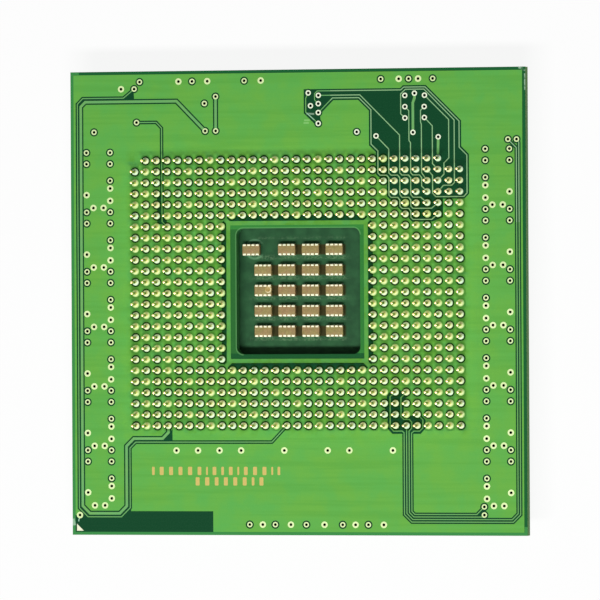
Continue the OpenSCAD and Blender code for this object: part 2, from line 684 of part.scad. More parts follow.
module edge_capacitor_terminals()
    color(tin) for (side = [-1, 1], g = [0:strip_groups - 1], end = [-1, 1])
        translate([
            side * edge_cap_x + end * (edge_cap_w - edge_terminal) / 2, edge_cap_y(g),
            z_board - edge_cap_h / 2
        ]) cube([edge_terminal, edge_cap_l, edge_cap_h], center = true);

module chip_body(p, w, l, t)
    color(resin) translate([p[0], p[1], z_board - chip_lift - t / 2]) cube([w, l, t], center = true);

// A bent lead: out of the body's side, up to the board, flat on it
module lead(t) {
    root = chip_lift + t / 2;
    bend = 0.4 * lead_reach;
    rotate([90, 0, 0]) linear_extrude(lead_w, center = true) polygon([
        [0, -root], [bend, -root], [bend, -lead_t], [lead_reach, -lead_t], [lead_reach, 0],
        [bend - lead_t, 0], [bend - lead_t, lead_t - root], [0, lead_t - root]
    ]);
}

module chip_leads(p, w, t, count)
    color(tin) for (k = [0:count - 1], turn = [0, 180])
        translate([p[0], p[1] + (k - (count - 1) / 2) * lead_pitch, z_board]) rotate(turn)
            translate([w / 2, 0, 0]) lead(t);

module memory_chip() chip_body(memory_at, memory_w, memory_l, memory_t);
module memory_chip_leads() chip_leads(memory_at, memory_w, memory_t, memory_leads);
module sensor_chip() chip_body(sensor_at, sensor_w, sensor_l, sensor_t);
module sensor_chip_leads() chip_leads(sensor_at, sensor_w, sensor_t, sensor_leads);

interposer_board();
ground_plane();
guard_ring();
signal_traces();
via_rings();
pin_one_mark();
for (r = [0:last_row]) pin_row(r);
for (b = [0:3]) pin_solder(banks[b]);
package_substrate();
for (b = [0:3]) solder_balls(banks[b]);
die();
die_underfill();
thermal_interface();
heat_spreader();
lid_sealant();
for (r = [0:cap_rows - 1]) cavity_capacitors(r);
cavity_capacitor_terminals();
edge_capacitors(-1);  // edge_capacitors_left
edge_capacitors(1);  // edge_capacitors_right
edge_capacitor_terminals();
memory_chip();
memory_chip_leads();
sensor_chip();
sensor_chip_leads();
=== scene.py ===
"""Looks of a pin grid array processor that lies on its heat spreader, pins up.

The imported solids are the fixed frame. Flat copper, mask and laminate keep their solids and get finishes.
Pins, solder, capacitors, chips and the lid are surfaces worked out here on the same places. Lengths are in
millimetres, and MM turns them into metres where a mesh, a lamp or the camera is made.
"""
import math

import bmesh
import bpy
import numpy as np
from mathutils import Matrix, Vector


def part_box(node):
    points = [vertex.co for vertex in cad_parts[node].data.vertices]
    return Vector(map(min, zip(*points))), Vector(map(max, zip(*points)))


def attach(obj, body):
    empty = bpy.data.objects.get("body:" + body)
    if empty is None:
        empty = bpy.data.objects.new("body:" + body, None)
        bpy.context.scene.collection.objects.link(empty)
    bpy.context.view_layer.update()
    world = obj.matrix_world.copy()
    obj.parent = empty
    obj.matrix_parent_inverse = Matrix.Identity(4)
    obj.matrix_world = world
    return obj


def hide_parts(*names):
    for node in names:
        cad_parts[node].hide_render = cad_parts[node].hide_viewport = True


MM = 0.001
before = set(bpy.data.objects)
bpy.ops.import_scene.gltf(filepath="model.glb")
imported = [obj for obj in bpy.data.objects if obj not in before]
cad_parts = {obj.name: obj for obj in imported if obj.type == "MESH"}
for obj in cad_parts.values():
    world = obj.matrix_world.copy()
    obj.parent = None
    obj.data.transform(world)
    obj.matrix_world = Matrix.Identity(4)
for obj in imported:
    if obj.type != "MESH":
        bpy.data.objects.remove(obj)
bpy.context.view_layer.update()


def reach(node):
    """Lowest and highest corner of a solid, in millimetres."""
    return [np.array(corner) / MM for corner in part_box(node)]


# Heights and edges, read from the solids
board_low, board_high = reach("interposer_board")
HALF_W, HALF_L = board_high[0], board_high[1]
Z_UNDER, Z_BOARD = board_low[2], board_high[2]
Z_COPPER = reach("ground_plane")[1][2]
Z_TIP = reach("pin_row_13")[1][2]
Z_FLOOR = reach("package_substrate")[1][2]
lid_low, lid_high = reach("heat_spreader")

# The pin grid: columns, rows and the void in its middle
PITCH = 1.27
FIELD_Y = 1.13
PIN_COLS, PIN_ROWS, VOID = 31, 25, 13
MID_COL, MID_ROW = (PIN_COLS - 1) / 2, (PIN_ROWS - 1) / 2
FIELD_AT = (0.0, FIELD_Y)
FIELD_HALF = (PIN_COLS * PITCH / 2, PIN_ROWS * PITCH / 2)
VOID_HALF = (VOID * PITCH / 2, VOID * PITCH / 2)
EMPTY_PLACE = (-MID_COL * PITCH, FIELD_Y + MID_ROW * PITCH)

# Pins and their solder
PIN_R = 0.155
PIN_SIDES = 12
FOOT_R = 0.38
JOINED_FOOT_R = 0.43
FOOT_SIDES = 16
CLEAR_R = 0.6
# how far the ring of painted shade round each pin reaches
PIN_SHADE_REACH = (0.54, 0.82)
BLOTCH_EDGE = ((19.4, 20.4), (15.6, 16.8))

# The window in the board and the copper frame round it
WINDOW_W, WINDOW_L, WINDOW_R = 14.5, 14.45, 0.8
WINDOW_AT = (0.11, FIELD_Y + 0.16)
GUARD_HALF = (15.66 / 2, 15.33 / 2)
GUARD_AT = (0.0, FIELD_Y + 0.08)
SIDE_LAP = 0.1
# how far the painted highlight along the window's left and upper edges reaches
WINDOW_HIGHLIGHT_EDGE = (0.02, 0.18)

# The board's margin, and the corner area without copper pour, which among the pins starts 8.5 pitches out
COPPER_INSET = 0.36
MARGIN_EDGE = (COPPER_INSET - 0.05, COPPER_INSET + 0.02)
SIDE_STRIP = 1.0
BARE_FROM = 8.5
BARE_CORNER = (BARE_FROM * PITCH, FIELD_Y + BARE_FROM * PITCH)
PALE_LINES_FROM = (4.0, 9.0)
WIDE_STRIPS = [((13.55, 21.75), (0.37, 2.35)), ((16.4, 17.65), (0.37, 1.35))]
PALE_VIAS_AT, PALE_VIAS_HALF = (9.5, 21.0), (9.0, 4.0)

# Wear on the board: each mark is a line's start, its end and its half width
RUBS_ON_COPPER = [((1.02, 20.84), (1.48, 20.84), 0.14), ((0.96, 20.53), (1.37, 20.53), 0.14)]
SCUFFS_ON_COPPER = [((-25.55, -24.5), (-25.95, -25.1), 0.3), ((1.3, 21.6), (2.0, 20.9), 0.14)]
RUB_ON_BARE = ((1.3, 21.6), (2.0, 21.55), 0.14)
EDGE_SCUFFS = [((26.0, 26.56), (26.6, 26.3), 0.16), ((26.62, 25.8), (26.62, 24.1), 0.12)]
EDGE_CHIP = ((-26.5, -25.4), (-26.6, -25.0), 0.25)

# The capacitors in the window: four columns by five rows, the first one set apart by half a pitch
CAP_COLS, CAP_ROWS = 4, 5
CAP_AT = (-0.1, FIELD_Y + 0.26)
CAP_PITCH = (2.79, 2.34)
CAP_SIZE = (2.0, 1.2)
CAP_LIFT, CAP_TOP = 0.05, 0.82
CAP_CORNER, CAP_EASE = 0.06, 0.04
TERMINALS_A_SIDE = 4
TERMINAL_PITCH = 0.5
TERMINAL_W, TERMINAL_T = 0.34, 0.04

# Marks and painted shade on the window's floor, and the drop on one capacitor with its painted highlight
FLUX_EDGE = ((5.3, 6.2), (5.6, 6.4))
# the painted shade in the gaps between capacitors fades out between these half sides
GAP_SHADE_EDGE = ((5.2, 5.5), (5.4, 5.7))
STAIN_AT, STAIN_R = (-5.4, 6.12), 1.06
DROP_ON = 8
DROP_OFF = (0.6, 0.12)
DROP_SIDES = 32
# the side of the drop's rim that gets the painted highlight
DROP_HIGHLIGHT_AT = math.radians(-45)

# The ball joints
BALL_PITCH = 1.27
BALL_COLS, BALL_VOID = 27, 13
BALL_R = 0.38
BALL_SIDES = 12

# The lid: how far its step and its pocket lie inside its outline, and their heights
STEP_IN, STEP_Z = 1.2, 1.2
POCKET_IN, POCKET_Z = 3.0, 1.4
LID_CORNER = 2.2

# Parts on the hidden side
STRIP_FIRST, STRIP_PITCH, STRIP_GROUPS = 9.31, 6.855, 6
EDGE_CAP_X = HALF_W - 3.27
EDGE_CAP_DROP = 0.65
EDGE_CAP = (3.2, 1.6, 0.85)
EDGE_BLOCK_IN = (0.1, 0.03, 0.03)
EDGE_TERMINAL = 0.5
LEAD_PITCH = 0.635
LEAD_W, LEAD_T = 0.25, 0.15
CHIP_LEAN, CHIP_EASE, CHIP_CORNER = 0.16, 0.03, 0.08
DOT_IN, DOT_R, DOT_T = 0.6, 0.2, 0.01

# Two rows of plain printed bars: each row's y, the x that it starts at and its bars' widths
BAR_ROWS = [
    (-19.3, -17.3, [0.5, 0.75, 0.75, 0.75, 0.8, 0.7, 0.35, 0.7, 0.5, 0.7, 0.35, 0.7, 0.75, 0.75, 0.35, 0.5]),
    (-20.5, -12.2, [0.75, 0.8, 0.7, 0.75, 0.75, 0.75, 0.5, 0.75]),
]
BAR_GAP, BAR_L, BAR_T, BAR_CORNER = 0.36, 0.95, 0.012, 0.1
BAR_FILL = 0.62


# Shapes


def solid_of(name, rings, finish, nodes=(), tube=False, crease=35, tone=None):
    """A closed piece over copies x rings x points: each ring closes on itself and is joined to the next by
    quads, and a tube's last ring is joined to its first. Doubled points at poles are merged. Tone, which the
    finish may read, is one number a copy, a ring or a point."""
    copies, count, around = rings.shape[:3]
    index = np.arange(copies * count * around).reshape(copies, count, around)
    joined_up = np.concatenate([index, index[:, :1]], 1) if tube else index
    turned = np.roll(joined_up, -1, 2)
    quads = np.stack([joined_up[:, :-1], turned[:, :-1], turned[:, 1:], joined_up[:, 1:]], -1).reshape(-1, 4)
    mesh = bpy.data.meshes.new(name)
    mesh.from_pydata((rings.reshape(-1, 3) * MM).tolist(), [], quads.tolist())
    if tone is not None:
        tones = mesh.attributes.new("tone", "FLOAT", "POINT")
        tones.data.foreach_set("value", np.repeat(tone, index.size // tone.size))
    shape = bmesh.new()
    shape.from_mesh(mesh)
    bmesh.ops.remove_doubles(shape, verts=shape.verts, dist=1e-9)
    bmesh.ops.dissolve_degenerate(shape, edges=shape.edges, dist=1e-9)
    bmesh.ops.recalc_face_normals(shape, faces=shape.faces)
    shape.to_mesh(mesh)
    shape.free()
    mesh.shade_smooth()
    mesh.set_sharp_from_angle(angle=math.radians(crease))
    mesh.materials.append(finish)
    piece = bpy.data.objects.new(name, mesh)
    bpy.context.scene.collection.objects.link(piece)
    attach(piece, "root")
    if nodes:
        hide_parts(*nodes)


def turned_on(places, profile, sides):
    """Rings of a profile of (radius, height) pairs turned about a vertical axis at each place (x, y, z)."""
    radius, height = np.array(profile, float).T
    angle = np.arange(sides) * 2 * math.pi / sides
    ring = np.stack(
        [
            np.outer(radius, np.cos(angle)),
            np.outer(radius, np.sin(angle)),
            np.repeat(height[:, None], sides, 1),
        ],
        -1,
    )
    return np.asarray(places, float)[:, None, None, :] + ring


def corner_ring(width, length, radius, steps=4):
    """Points of a rectangle with its corners turned by quarter circles, counter-clockwise."""
    quarter = np.arange(4)[:, None]
    angle = (quarter + np.linspace(0, 1, steps)) * math.pi / 2
    halfway = (quarter + 0.5) * math.pi / 2
    side = np.stack([np.sign(np.cos(halfway)), np.sign(np.sin(halfway))], -1)
    centre = side * (np.array([width, length]) / 2 - radius)
    return (centre + radius * np.stack([np.cos(angle), np.sin(angle)], -1)).reshape(-1, 2)


def stacked(places, size, corner, levels):
    """Rings of a block at each place: a rounded rectangle of the given size, drawn in by each level's inset
    at its height. An inset of None draws the ring to a point in the middle."""
    rings = []
    for inset, height in levels:
        if inset is None:
            flat = np.zeros_like(corner_ring(1, 1, 0.1))
        else:
            flat = corner_ring(size[0] - 2 * inset, size[1] - 2 * inset, max(corner - inset, 0.01))
        rings.append(np.concatenate([flat, np.full((len(flat), 1), height)], 1))
    return np.asarray(places, float)[:, None, None, :] + np.array(rings)


def eased(low, high, ease):
    """Levels of a block from low to high whose edges are eased by two short slopes."""
    return [
        (None, low), (ease, low), (0.3 * ease, low + 0.3 * ease), (0, low + ease),
        (0, high - ease), (0.3 * ease, high - 0.3 * ease), (ease, high), (None, high),
    ]


def strip_along(path, width, thickness):
    """Rings of a flat strip carried along a path in the y-z plane: at each point a rectangle, width along x
    and thickness across the path, with both ends drawn to a point."""
    path = np.array(path, float)
    step = np.gradient(path, axis=0)
    step /= np.linalg.norm(step, axis=1)[:, None]
    across = np.stack([-step[:, 1], step[:, 0]], -1) * thickness / 2
    sign = np.array([[-1, -1], [1, -1], [1, 1], [-1, 1]])
    flat = path[:, None, :] + sign[None, :, 1:] * across[:, None, :]
    wide = np.broadcast_to(sign[None, :, :1] * width / 2, flat.shape[:2] + (1,))
    rings = np.concatenate([wide, flat], -1)
    return np.concatenate([ends(rings, 0), rings, ends(rings, -1)], 0)


def ends(rings, which):
    """One ring drawn to its own middle, which closes a strip's end."""
    return np.broadcast_to(rings[which].mean(0), rings[which][None].shape)


def wedge(outline, width):
    """Rings of a flat outline in the y-z plane carried along x by the given width, with both ends drawn to a
    point."""
    outline = np.array(outline, float)
    rings = np.stack([np.insert(outline, 0, x, axis=1) for x in (-width / 2, width / 2)])
    return np.concatenate([ends(rings, 0), rings, ends(rings, -1)], 0)


def set_round(rings, places, turns):
    """Copies of the same rings, each turned about z by its own angle in degrees and moved to its place."""
    angle = np.radians(turns)
    cos, sin = np.cos(angle), np.sin(angle)
    zero, one = np.zeros_like(angle), np.ones_like(angle)
    turn = np.array([[cos, -sin, zero], [sin, cos, zero], [zero, zero, one]])
    return np.einsum("ijk,abj->kabi", turn, rings) + np.asarray(places, float)[:, None, None, :]


# Finishes


def paint(red, green, blue):
    """A colour as it is seen on a screen, 0 to 255, in the linear values that a shader takes."""
    seen = np.array([red, green, blue]) / 255
    return (*np.where(seen <= 0.04045, seen / 12.92, ((seen + 0.055) / 1.055) ** 2.4), 1.0)


class Value:
    """A shader socket; Python's operators on it add Math nodes."""

    def __init__(self, nodes, socket):
        self.nodes, self.socket = nodes, socket

    def maths(self, operation, *values):
        return self.nodes.node("ShaderNodeMath", {"operation": operation}, dict(enumerate(values)))

    def __add__(self, other):
        return self.maths("ADD", self, other)

    def __sub__(self, other):
        return self.maths("SUBTRACT", self, other)

    def __rsub__(self, other):
        return self.maths("SUBTRACT", other, self)

    def __mul__(self, other):
        return self.maths("MULTIPLY", self, other)

    def __truediv__(self, other):
        return self.maths("DIVIDE", self, other)

    def __lt__(self, other):
        return self.maths("LESS_THAN", self, other)

    def __gt__(self, other):
        return self.maths("GREATER_THAN", self, other)

    def __abs__(self):
        return self.maths("ABSOLUTE", self)

    __radd__, __rmul__ = __add__, __mul__

    def larger(self, other):
        return self.maths("MAXIMUM", self, other)

    def smaller(self, other):
        return self.maths("MINIMUM", self, other)

    def fraction(self):
        return self.maths("FRACT", self)

    def root(self):
        return self.maths("SQRT", self)

    def step(self, low, high):
        """Rises smoothly from 0 at low to 1 at high."""
        return self.nodes.node(
            "ShaderNodeMapRange",
            {"interpolation_type": "SMOOTHSTEP"},
            {"Value": self, "From Min": low, "From Max": high},
        )


class Nodes:
    """Adds nodes to one tree."""

    def __init__(self, tree):
        self.tree = tree

    def node(self, kind, settings=None, inputs=None, out=0):
        """Adds a node: its settings first, then a value or a link on each named socket."""
        made = self.tree.nodes.new(kind)
        for key, value in (settings or {}).items():
            setattr(made, key, value)
        for key, value in (inputs or {}).items():
            self.feed(made.inputs[key], value)
        return Value(self, made.outputs[out])

    def feed(self, socket, value):
        if isinstance(value, Value):
            self.tree.links.new(value.socket, socket)
        else:
            socket.default_value = value

    def seen(self):
        """1 for rays from the camera, off a mirror or through glass, 0 for rays that only carry light."""
        path = self.node("ShaderNodeLightPath").socket.node
        kinds = ("Is Camera Ray", "Is Glossy Ray", "Is Transmission Ray")
        camera_ray, glossy, through = (Value(self, path.outputs[kind]) for kind in kinds)
        return camera_ray.larger(glossy).larger(through)


class Finish(Nodes):
    """A procedural material; place() gives the surface's own coordinates in millimetres."""

    def __init__(self, name, **constants):
        self.material = bpy.data.materials.new(name)
        self.material.use_nodes = True
        super().__init__(self.material.node_tree)
        self.shader = self.tree.nodes["Principled BSDF"]
        self.set(**constants)
        metres = self.node("ShaderNodeTexCoord", out="Object")
        self.at = self.node("ShaderNodeVectorMath", {"operation": "SCALE"}, {0: metres, "Scale": 1 / MM})

    def set(self, **sockets):
        for name, value in sockets.items():
            self.feed(self.shader.inputs[name.replace("_", " ")], value)

    def place(self):
        split = self.node("ShaderNodeSeparateXYZ", inputs={0: self.at}).socket.node
        return [Value(self, socket) for socket in split.outputs]

    def facing_z(self):
        """1 where a surface faces straight up or down, 0 where it stands upright."""
        normal = self.node("ShaderNodeNewGeometry", out="Normal")
        return abs(self.node("ShaderNodeSeparateXYZ", inputs={0: normal}, out=2))

    def own_tone(self):
        """The number that the piece's own mesh carries."""
        return self.node("ShaderNodeAttribute", {"attribute_name": "tone"}, out="Fac")

    def noise(self, per_mm, detail=2.0, stretch=(1, 1, 1), roughness=0.5):
        """Cloudy spots, so many a millimetre; a stretch below 1 draws them out along that axis."""
        drawn = self.node("ShaderNodeVectorMath", {"operation": "MULTIPLY"}, {0: self.at, 1: stretch})
        settings = {"Vector": drawn, "Scale": per_mm, "Detail": detail, "Roughness": roughness}
        return self.node("ShaderNodeTexNoise", None, settings)

    def mix(self, share, first, second):
        return self.node("ShaderNodeMix", {"data_type": "RGBA"}, {0: share, 6: first, 7: second}, out=2)

    def bump(self, height, depth_mm):
        settings = {"Height": height, "Distance": depth_mm * MM, "Strength": 1.0}
        self.set(Normal=self.node("ShaderNodeBump", None, settings))
        return self

    def line(self, x, y, start, end, half_width):
        """1 within half_width of the straight line between two points, 0 outside it."""
        run = np.subtract(end, start)
        length = float(np.hypot(*run))
        along = (x - start[0]) * float(run[0] / length) + (y - start[1]) * float(run[1] / length)
        across = abs((x - start[0]) * float(-run[1] / length) + (y - start[1]) * float(run[0] / length))
        outside = (abs(along - length / 2) - length / 2).larger(across)
        return 1 - outside.step(0.4 * half_width, half_width)

    def marks(self, x, y, first, *others):
        """1 on any of the given lines, 0 off them all."""
        drawn = self.line(x, y, *first)
        for mark in others:
            drawn = drawn.larger(self.line(x, y, *mark))
        return drawn


def from_pin(x, y):
    """Distance from the nearest place of the pin grid, which goes on over the void and past the field."""
    off_x = ((x / PITCH + 0.5).fraction() - 0.5) * PITCH
    off_y = (((y - FIELD_Y) / PITCH + 0.5).fraction() - 0.5) * PITCH
    return (off_x * off_x + off_y * off_y).root()


def in_box(x, y, middle, half):
    """1 inside the rectangle of the given half sides round a middle point, 0 outside it."""
    return (abs(x - middle[0]) < half[0]) * (abs(y - middle[1]) < half[1])


def fading_box(across, along, edge):
    """1 inside a rectangle round the origin, fading to 0 between the two half sides that edge gives each
    way."""
    return (1 - abs(across).step(*edge[0])) * (1 - abs(along).step(*edge[1]))


MASK_GLOSS = 0.08
WEAVE_PITCH = 0.5


def weave(x, y):
    """Height of a plain glass weave under a coat: two crossed sets of ridges."""
    return abs((x / WEAVE_PITCH).fraction() - 0.5) + abs((y / WEAVE_PITCH).fraction() - 0.5)


def soil_and_shade_among_pins(finish, x, y, tone):
    """The mask among the pins: darker blotches all over, partly mottling and partly painted shade between the
    pins, and a ring of painted shade close round each pin, where the pin and its foot shade the mask.
    """
    # Painted shade: darker blotches among the pins stand partly for the mask's mottling, partly for shade
    # between the pins.
    blotches = finish.noise(1.1, 3.0).step(0.4, 0.7)
    blotch = finish.mix(finish.noise(0.5, 2.0).step(0.44, 0.56), paint(72, 154, 84), paint(78, 142, 38))
    tone = finish.mix(fading_box(x, y - FIELD_Y, BLOTCH_EDGE) * (0.2 + 0.4 * blotches), tone, blotch)
    pinned = in_box(x, y, FIELD_AT, FIELD_HALF) * (1 - in_box(x, y, FIELD_AT, VOID_HALF))
    pinned = pinned * (1 - in_box(x, y, EMPTY_PLACE, (PITCH / 2, PITCH / 2)))
    # Painted shade: a dark ring close round each pin, where the pin and its foot shade the mask.
    pin_shade = pinned * (1 - from_pin(x, y).step(*PIN_SHADE_REACH))
    return finish.mix(0.5 * pin_shade, tone, paint(48, 104, 34))


def on_pale_lines(x, y):
    """1 on the fine lines of the corner area, 0 on its two wide strips and elsewhere."""
    pale = (x > PALE_LINES_FROM[0]) * (y > PALE_LINES_FROM[1])
    for middle, half in WIDE_STRIPS:
        pale = pale * (1 - in_box(x, y, middle, half))
    return pale


def mask_over_copper(name, shade, cool, warm, pale=None):
    """Green mask over copper: cool and warm patches a few millimetres across, faint streaks along x, fine
    grain, darker blotches and painted shade among the pins, and a few pale rub marks. Pale is the tone, if
    another, of the corner area's fine lines."""
    finish = Finish(name, Specular_IOR_Level=MASK_GLOSS)
    x, y, _ = finish.place()
    patches = 0.7 * finish.noise(0.4, 3.0).step(0.32, 0.68) + 0.3 * finish.noise(0.08, 2.0).step(0.35, 0.65)
    streaks = finish.noise(1.7, 2.0, (0.04, 1, 1)).step(0.42, 0.7)
    grain = finish.noise(9.0, 2.0)
    tone = finish.mix(0.4 * streaks, finish.mix(patches, cool, warm), shade)
    tone = soil_and_shade_among_pins(finish, x, y, tone)
    tone = finish.mix(0.7 * finish.marks(x, y, *RUBS_ON_COPPER), tone, paint(148, 212, 126))
    tone = finish.mix(0.7 * finish.marks(x, y, *SCUFFS_ON_COPPER), tone, paint(178, 222, 200))
    if pale:
        tone = finish.mix(0.6 * on_pale_lines(x, y), tone, pale)
    finish.set(Base_Color=tone, Roughness=0.22 + 0.1 * grain)
    return finish.bump(grain + 0.6 * weave(x, y), 0.004).material


def bare_laminate(finish, x, y, grain):
    """Dark mask with no copper under it, darker still in the clearance ring round each pin, partly as
    painted shade of the pin and its foot.
    """
    dark = finish.mix(grain, paint(6, 64, 34), paint(14, 74, 42))
    in_bare_corner = (x > BARE_CORNER[0]) * (y > BARE_CORNER[1])
    # Partly painted shade: the clearance ring round each pin is darker still.
    ringed = in_box(x, y, FIELD_AT, FIELD_HALF) * (1 - in_bare_corner) * (from_pin(x, y) < CLEAR_R)
    return finish.mix(ringed, dark, paint(0, 54, 0))


def window_border(finish, x, y, tone):
    """The strip between copper frame and window, with painted light and shade as a tone of its own on each
    side of the window, and a painted highlight along the window's left and upper edges, where they catch the
    light."""
    across, along = x - WINDOW_AT[0], y - WINDOW_AT[1]
    half_w, half_l = WINDOW_W / 2, WINDOW_L / 2
    # Painted light and shade: each side of the window's border has its own tone.
    border = finish.mix(across.step(-half_w, half_w), paint(44, 106, 50), paint(50, 124, 56))
    border = finish.mix(along > (half_l - SIDE_LAP), border, paint(56, 134, 60))
    border = finish.mix(along < (SIDE_LAP - half_l), border, paint(24, 86, 44))
    tone = finish.mix(in_box(x, y, GUARD_AT, GUARD_HALF), tone, border)
    past_x = (abs(across) - (half_w - WINDOW_R)).larger(0.0)
    past_y = (abs(along) - (half_l - WINDOW_R)).larger(0.0)
    from_window = (past_x * past_x + past_y * past_y).root() - WINDOW_R
    # Painted highlight along the window's left and upper edges.
    window_edge_highlight = (across < (WINDOW_R - half_w)).larger(along > (half_l - WINDOW_R))
    return finish.mix(0.55 * window_edge_highlight * (1 - from_window.step(*WINDOW_HIGHLIGHT_EDGE)), tone, paint(112, 178, 112))


def cut_faces(finish, z, from_edge):
    """The board's upright faces: thin layers with fibres where it is sawn, plain darker green where the
    window and the holes are milled."""
    fibres = finish.noise(4.0, 3.0, (1, 1, 2.5))
    layers = ((z - Z_UNDER) * 4.6 + 0.5 * fibres).fraction().step(0.2, 0.8)
    sawn = finish.mix(0.5 * layers + 0.5 * fibres, paint(78, 128, 74), paint(120, 156, 92))
    milled = finish.mix(fibres, paint(46, 112, 62), paint(68, 134, 80))
    return finish.mix(from_edge > SIDE_STRIP, sawn, milled)


def board_finish():
    """The laminate under its mask: dark where copper is missing, with painted light and shade round the
    window and painted light along the left and lower margins, worn at two corners, with cut faces in thin
    layers. The hidden side has the light tone of a full copper layer."""
    finish = Finish("board_mask", Specular_IOR_Level=MASK_GLOSS)
    x, y, z = finish.place()
    grain = finish.noise(6.0, 3.0)
    tone = window_border(finish, x, y, bare_laminate(finish, x, y, grain))
    from_edge = (HALF_W - abs(x)).smaller(HALF_L - abs(y))
    margin = 1 - from_edge.step(*MARGIN_EDGE)
    # Painted light: the left and lower margins are lighter.
    lit_margin = (x < (SIDE_STRIP - HALF_W)).larger(y < (SIDE_STRIP - HALF_L))
    tone = finish.mix(margin, tone, finish.mix(lit_margin, paint(24, 96, 50), paint(62, 142, 74)))
    scuffed = finish.marks(x, y, *EDGE_SCUFFS) * finish.noise(3.0, 3.0).step(0.3, 0.55)
    worn = finish.marks(x, y, EDGE_CHIP).larger(scuffed).larger(0.7 * finish.marks(x, y, RUB_ON_BARE))
    tone = finish.mix(worn * 0.8, tone, paint(170, 205, 175))
    under = finish.mix(finish.noise(0.1, 3.0).step(0.35, 0.65), paint(64, 138, 56), paint(78, 150, 62))
    under = finish.mix(margin, under, paint(24, 96, 50))
    tone = finish.mix(z < (Z_UNDER + 0.02), tone, under)
    upright = finish.facing_z() < 0.5
    tone = finish.mix(upright, tone, cut_faces(finish, z, from_edge))
    finish.set(Base_Color=tone, Roughness=0.22 + 0.1 * grain + 0.6 * upright)
    return finish.bump(grain + weave(x, y), 0.004).material


def bright_metal(name, first, second, patch_per_mm, metallic, rough):
    """Plated metal whose tint wanders between two colours from spot to spot."""
    finish = Finish(name, Metallic=metallic)
    tint = finish.mix(finish.noise(patch_per_mm, 1.0).step(0.3, 0.7), first, second)
    grain = finish.noise(14.0, 2.0)
    finish.set(Base_Color=tint, Roughness=rough + 0.14 * grain)
    return finish.bump(grain, 0.003).material


def via_finish():
    """Tinned via rings: cream, nearly white in the copper-free corner area, with painted shade dark inside
    the barrels.
    """
    finish = Finish("tinned_copper", Metallic=0.15)
    x, y, z = finish.place()
    tint = finish.mix(finish.noise(0.3, 1.0).step(0.3, 0.7), paint(216, 234, 172), paint(206, 226, 162))
    tint = finish.mix(in_box(x, y, PALE_VIAS_AT, PALE_VIAS_HALF), tint, paint(230, 240, 212))
    # Painted shade: the inside of each via barrel is near black.
    tint = finish.mix(z < (Z_COPPER - 0.01), tint, paint(8, 8, 6))
    grain = finish.noise(14.0, 2.0)
    finish.set(Base_Color=tint, Roughness=0.45 + 0.14 * grain)
    return finish.bump(grain, 0.003).material


def foot_finish():
    """Tinned solder: near white, tinged by each foot's own tone from 0 to 1. Feet that join the copper layer
    have tone 2, rising to 3 at the rim, and take a yellow-green cast from the mask that creeps over them."""
    finish = Finish("solder", Metallic=0.0, Specular_IOR_Level=0.25)
    tone = finish.own_tone()
    grain = finish.noise(14.0, 2.0)
    tint = finish.mix(tone.step(0.0, 1.0), paint(214, 246, 212), paint(224, 240, 190))
    tint = finish.mix(tone.step(1.2, 1.8), tint, paint(222, 240, 174))
    tint = finish.mix(0.75 * tone.step(2.15, 3.0), tint, paint(134, 190, 88))
    finish.set(Base_Color=tint, Roughness=0.32 + 0.14 * grain)
    return finish.bump(grain, 0.003).material


def ceramic_finish(name, first, second):
    """Fired ceramic: each block has its own tone between two colours, with fine dark and light speckle."""
    finish = Finish(name, Specular_IOR_Level=0.2)
    speckle = finish.noise(5.0, 4.0, roughness=0.8).step(0.3, 0.7)
    tone = finish.mix(0.5 * finish.own_tone() + 0.5 * finish.noise(0.9, 2.0).step(0.4, 0.6), first, second)
    tone = finish.mix(0.4 * (1 - speckle), tone, paint(104, 82, 50))
    tone = finish.mix(0.25 * speckle.step(0.7, 1.0), tone, paint(214, 190, 140))
    finish.set(Base_Color=tone, Roughness=0.5 + 0.2 * speckle)
    return finish.bump(speckle, 0.006).material


def carrier_finish():
    """The inner carrier: dull dark green, with specks of pale flux below each capacitor, painted dark brown
    shade in the gaps along each row, where the capacitors' sides shade the floor and tint it with their
    brown, part of a pale ring round the capacitor that is set apart, and layered sawn edges."""
    finish = Finish("substrate_mask", Specular_IOR_Level=0.1)
    x, y, z = finish.place()
    cloud = finish.noise(0.8, 4.0)
    grain = finish.noise(10.0, 3.0)
    tone = finish.mix(cloud.step(0.3, 0.7), paint(34, 76, 46), paint(44, 92, 56))
    across, along = x - CAP_AT[0], y - CAP_AT[1]
    row = (along / CAP_PITCH[1] + 0.5).fraction()
    beside = (across / CAP_PITCH[0]).fraction()
    below = row.step(0.0, 0.06) * (1 - row.step(0.1, 0.34))
    under_block = beside.step(0.05, 0.25) * (1 - beside.step(0.85, 1.0))
    flux = below * fading_box(across, along, FLUX_EDGE) * (0.35 + 0.65 * under_block)
    flux = flux * finish.noise(5.0, 3.0, roughness=0.75).step(0.38, 0.66)
    tone = finish.mix(flux * 0.45, tone, paint(120, 158, 116))
    # Painted shade: dark brown in the gaps between the capacitors of each row, tinted by their ceramic.
    between = abs(beside - 0.5).step(0.3, 0.38)
    in_row = 1 - abs(row - 0.5).step(0.2, 0.3)
    set_apart = (along > 1.5 * CAP_PITCH[1]) * (across < -0.75 * CAP_PITCH[0])
    inner = fading_box(across, along, GAP_SHADE_EDGE) * (1 - set_apart)
    tone = finish.mix(0.9 * between * in_row * inner, tone, paint(54, 44, 8))
    stain_x, stain_y = x - STAIN_AT[0], y - STAIN_AT[1]
    from_stain = abs((stain_x * stain_x + stain_y * stain_y).root() - STAIN_R)
    stain = (1 - from_stain.step(0.04, 0.2)) * abs(stain_y).step(0.5 * STAIN_R, 0.8 * STAIN_R)
    tone = finish.mix(0.45 * stain, tone, paint(112, 164, 124))
    layers = finish.mix((z * 6.0).fraction().step(0.3, 0.7), paint(70, 84, 48), paint(98, 104, 62))
    tone = finish.mix(finish.facing_z() < 0.5, tone, layers)
    finish.set(Base_Color=tone, Roughness=0.5 - 0.2 * flux)
    return finish.bump(grain + 2.0 * flux, 0.008).material


